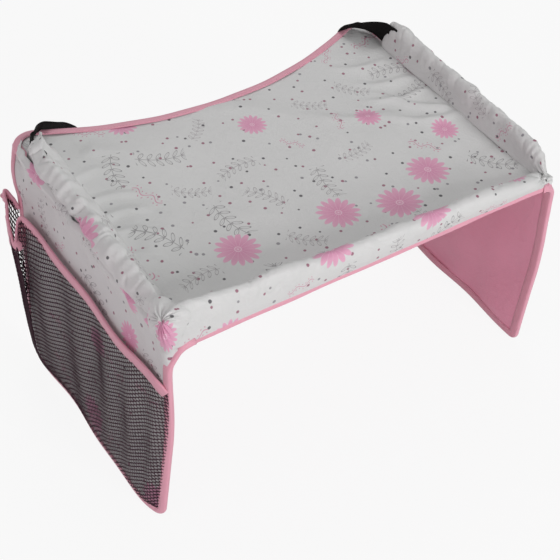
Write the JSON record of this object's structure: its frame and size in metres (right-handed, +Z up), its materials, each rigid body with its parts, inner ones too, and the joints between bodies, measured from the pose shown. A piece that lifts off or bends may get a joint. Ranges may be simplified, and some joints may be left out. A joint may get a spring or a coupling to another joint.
{
  "type": "car seat tray table",
  "caption": "Soft travel tray for a child's car seat: bound padded floor hollowed at the back, three padded walls, hanging side flaps with net pockets, and a buckled webbing belt.",
  "frame": {"origin": "centre of the tray's underside, which rests on the lap", "axes": "+X to the tray's right as seen from its front edge, +Y from the front edge to the hollowed back edge, +Z up"},
  "size_m": [0.4972, 0.3417, 0.2656],
  "materials": {
    "print": "white coated cloth with a small print, soft sheen",
    "satin": "plain pink woven lining, soft sheen",
    "tape": "folded pink binding tape, matt",
    "net": "black knitted net",
    "webbing": "black woven webbing, matt",
    "foam": "white foam padding, hidden",
    "board": "thin plastic board, hidden",
    "buckle": "black moulded plastic, satin"
  },
  "bodies": {
    "tray": {"base_lining": "satin", "base_board": "board", "floor_padding": "foam", "floor_cover": "print", "left_wall_cover": "print", "right_wall_cover": "print", "front_wall_cover": "print", "left_wall_foam": "foam", "right_wall_foam": "foam", "front_wall_foam": "foam", "front_left_corner_gather": "print", "front_right_corner_gather": "print", "back_edge_binding": "tape", "front_edge_binding": "tape", "left_belt_strap": "webbing", "right_belt_strap": "webbing", "buckle_socket": "buckle", "buckle_plug": "buckle"},
    "left_flap": {"left_flap_lining": "satin", "left_flap_stiffener": "board", "left_flap_cover": "print", "left_flap_binding": "tape", "left_pocket_net": "net", "left_pocket_mouth_tape": "tape"},
    "right_flap": {"right_flap_lining": "satin", "right_flap_stiffener": "board", "right_flap_cover": "print", "right_flap_binding": "tape", "right_pocket_net": "net", "right_pocket_mouth_tape": "tape"},
    "front_prong": {"buckle_prong_front": "buckle"},
    "rear_prong": {"buckle_prong_rear": "buckle"}
  },
  "joints": [
    {"name": "left_flap_fold", "type": "hinge", "parent": "tray", "child": "left_flap", "pos_m": [-0.20835, 0, -0.004], "axis": [0, 1, 0], "range_deg": [-92.5, 105.5]},
    {"name": "right_flap_fold", "type": "hinge", "parent": "tray", "child": "right_flap", "pos_m": [0.20835, 0, -0.004], "axis": [0, -1, 0], "range_deg": [-84.9, 107.1]},
    {"name": "front_prong_squeeze", "type": "hinge", "parent": "tray", "child": "front_prong", "pos_m": [-0.0021, 0.1602, -0.1], "axis": [0, 0, -1], "range_deg": [0, 15], "stiffness_Nm_per_rad": 0.02},
    {"name": "rear_prong_squeeze", "type": "hinge", "parent": "tray", "child": "rear_prong", "pos_m": [-0.0021, 0.1798, -0.1], "axis": [0, 0, 1], "range_deg": [0, 15], "stiffness_Nm_per_rad": 0.02}
  ]
}
